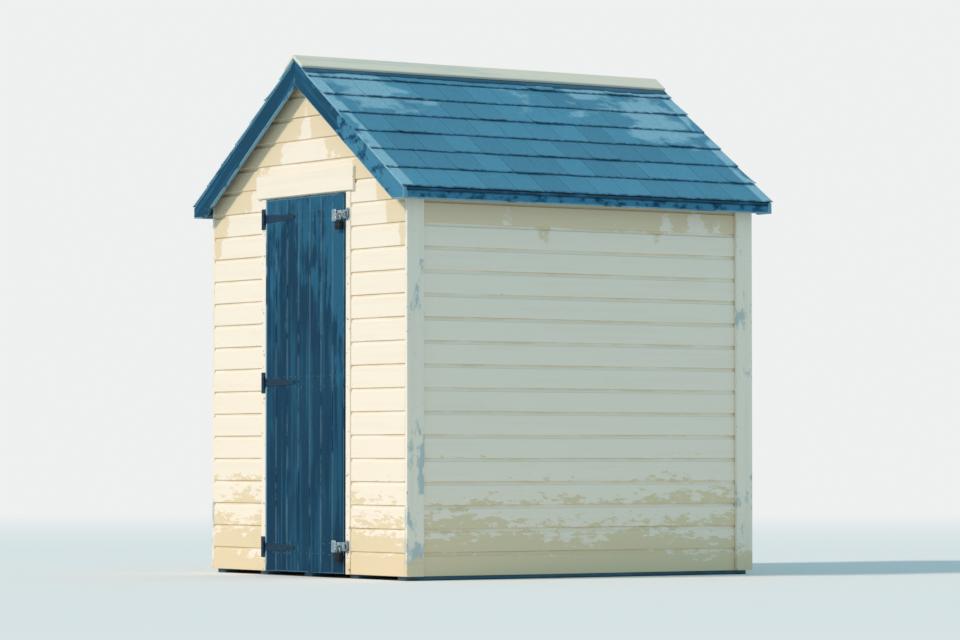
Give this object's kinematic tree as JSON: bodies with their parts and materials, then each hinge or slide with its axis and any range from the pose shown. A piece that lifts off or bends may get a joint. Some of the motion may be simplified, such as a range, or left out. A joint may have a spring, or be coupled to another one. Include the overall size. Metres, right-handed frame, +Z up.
{
  "type": "beach hut",
  "caption": "Small timber beach hut: gabled shingle roof, pale shiplap walls, navy bargeboards and a dark boarded door that swings on tee hinges and closes with hasps.",
  "frame": {"origin": "on the ground under the middle of the hut", "axes": "+X to the right along the front, the front and its door face -Y, +Z up"},
  "size_m": [2.01, 2.26, 2.6052],
  "materials": {
    "bearer_timber": "dark treated timber, rough",
    "deck_timber": "bare softwood boards, worn",
    "frame_timber": "bare sawn softwood",
    "wall_paint": "cream gloss paint over shiplap, weathered",
    "trim_paint": "cream paint, weathered",
    "roof_boarding": "bare softwood boards",
    "shingle": "slate blue mineral shingles, bleached in patches",
    "ridge_paint": "pale paint, weathered",
    "barge_paint": "navy paint, weathered",
    "door_paint": "dark blue paint, weathered",
    "hinge_metal": "dark blue paint over iron",
    "galvanised": "galvanised, dull",
    "padlock_case": "near-black weatherproof case"
  },
  "bodies": {
    "hut": {"floor_bearers": "bearer_timber", "floor_deck": "deck_timber", "sole_plates": "frame_timber", "front_studs": "frame_timber", "rear_studs": "frame_timber", "side_studs": "frame_timber", "wall_plates": "frame_timber", "gable_ties": "frame_timber", "ridge_board": "frame_timber", "rafters": "frame_timber", "front_wall_left": "wall_paint", "front_wall_right": "wall_paint", "front_gable": "wall_paint", "left_wall": "wall_paint", "right_wall": "wall_paint", "rear_wall": "wall_paint", "corner_boards_left": "trim_paint", "corner_boards_right": "trim_paint", "door_post_left": "trim_paint", "door_post_right": "trim_paint", "door_head": "trim_paint", "door_sill": "deck_timber", "door_stops": "trim_paint", "head_board": "trim_paint", "roof_boards_left": "roof_boarding", "roof_boards_right": "roof_boarding", "shingles_left": "shingle", "shingles_right": "shingle", "ridge_cap": "ridge_paint", "bargeboard_front_left": "barge_paint", "bargeboard_front_right": "barge_paint", "bargeboard_rear_left": "barge_paint", "bargeboard_rear_right": "barge_paint", "eaves_boards": "barge_paint", "hinge_plates": "hinge_metal", "hasp_staples": "galvanised"},
    "door": {"door_boards": "door_paint", "door_ledges": "door_paint", "door_braces": "door_paint", "hinge_straps": "hinge_metal", "hasp_plates": "galvanised"},
    "upper_hasp": {"upper_hasp_strap": "galvanised", "upper_padlock": "padlock_case"},
    "lower_hasp": {"lower_hasp_strap": "galvanised", "lower_padlock": "padlock_case"}
  },
  "joints": [
    {"name": "door_swing", "type": "hinge", "parent": "hut", "child": "door", "pos_m": [-0.3775, -1.068, 0.971], "axis": [0, 0, -1], "range_deg": [0, 160]},
    {"name": "upper_hasp_swing", "type": "hinge", "parent": "door", "child": "upper_hasp", "pos_m": [0.308, -1.067, 1.79], "axis": [0, 0, -1], "range_deg": [0, 110]},
    {"name": "lower_hasp_swing", "type": "hinge", "parent": "door", "child": "lower_hasp", "pos_m": [0.308, -1.067, 0.155], "axis": [0, 0, -1], "range_deg": [0, 110]}
  ]
}
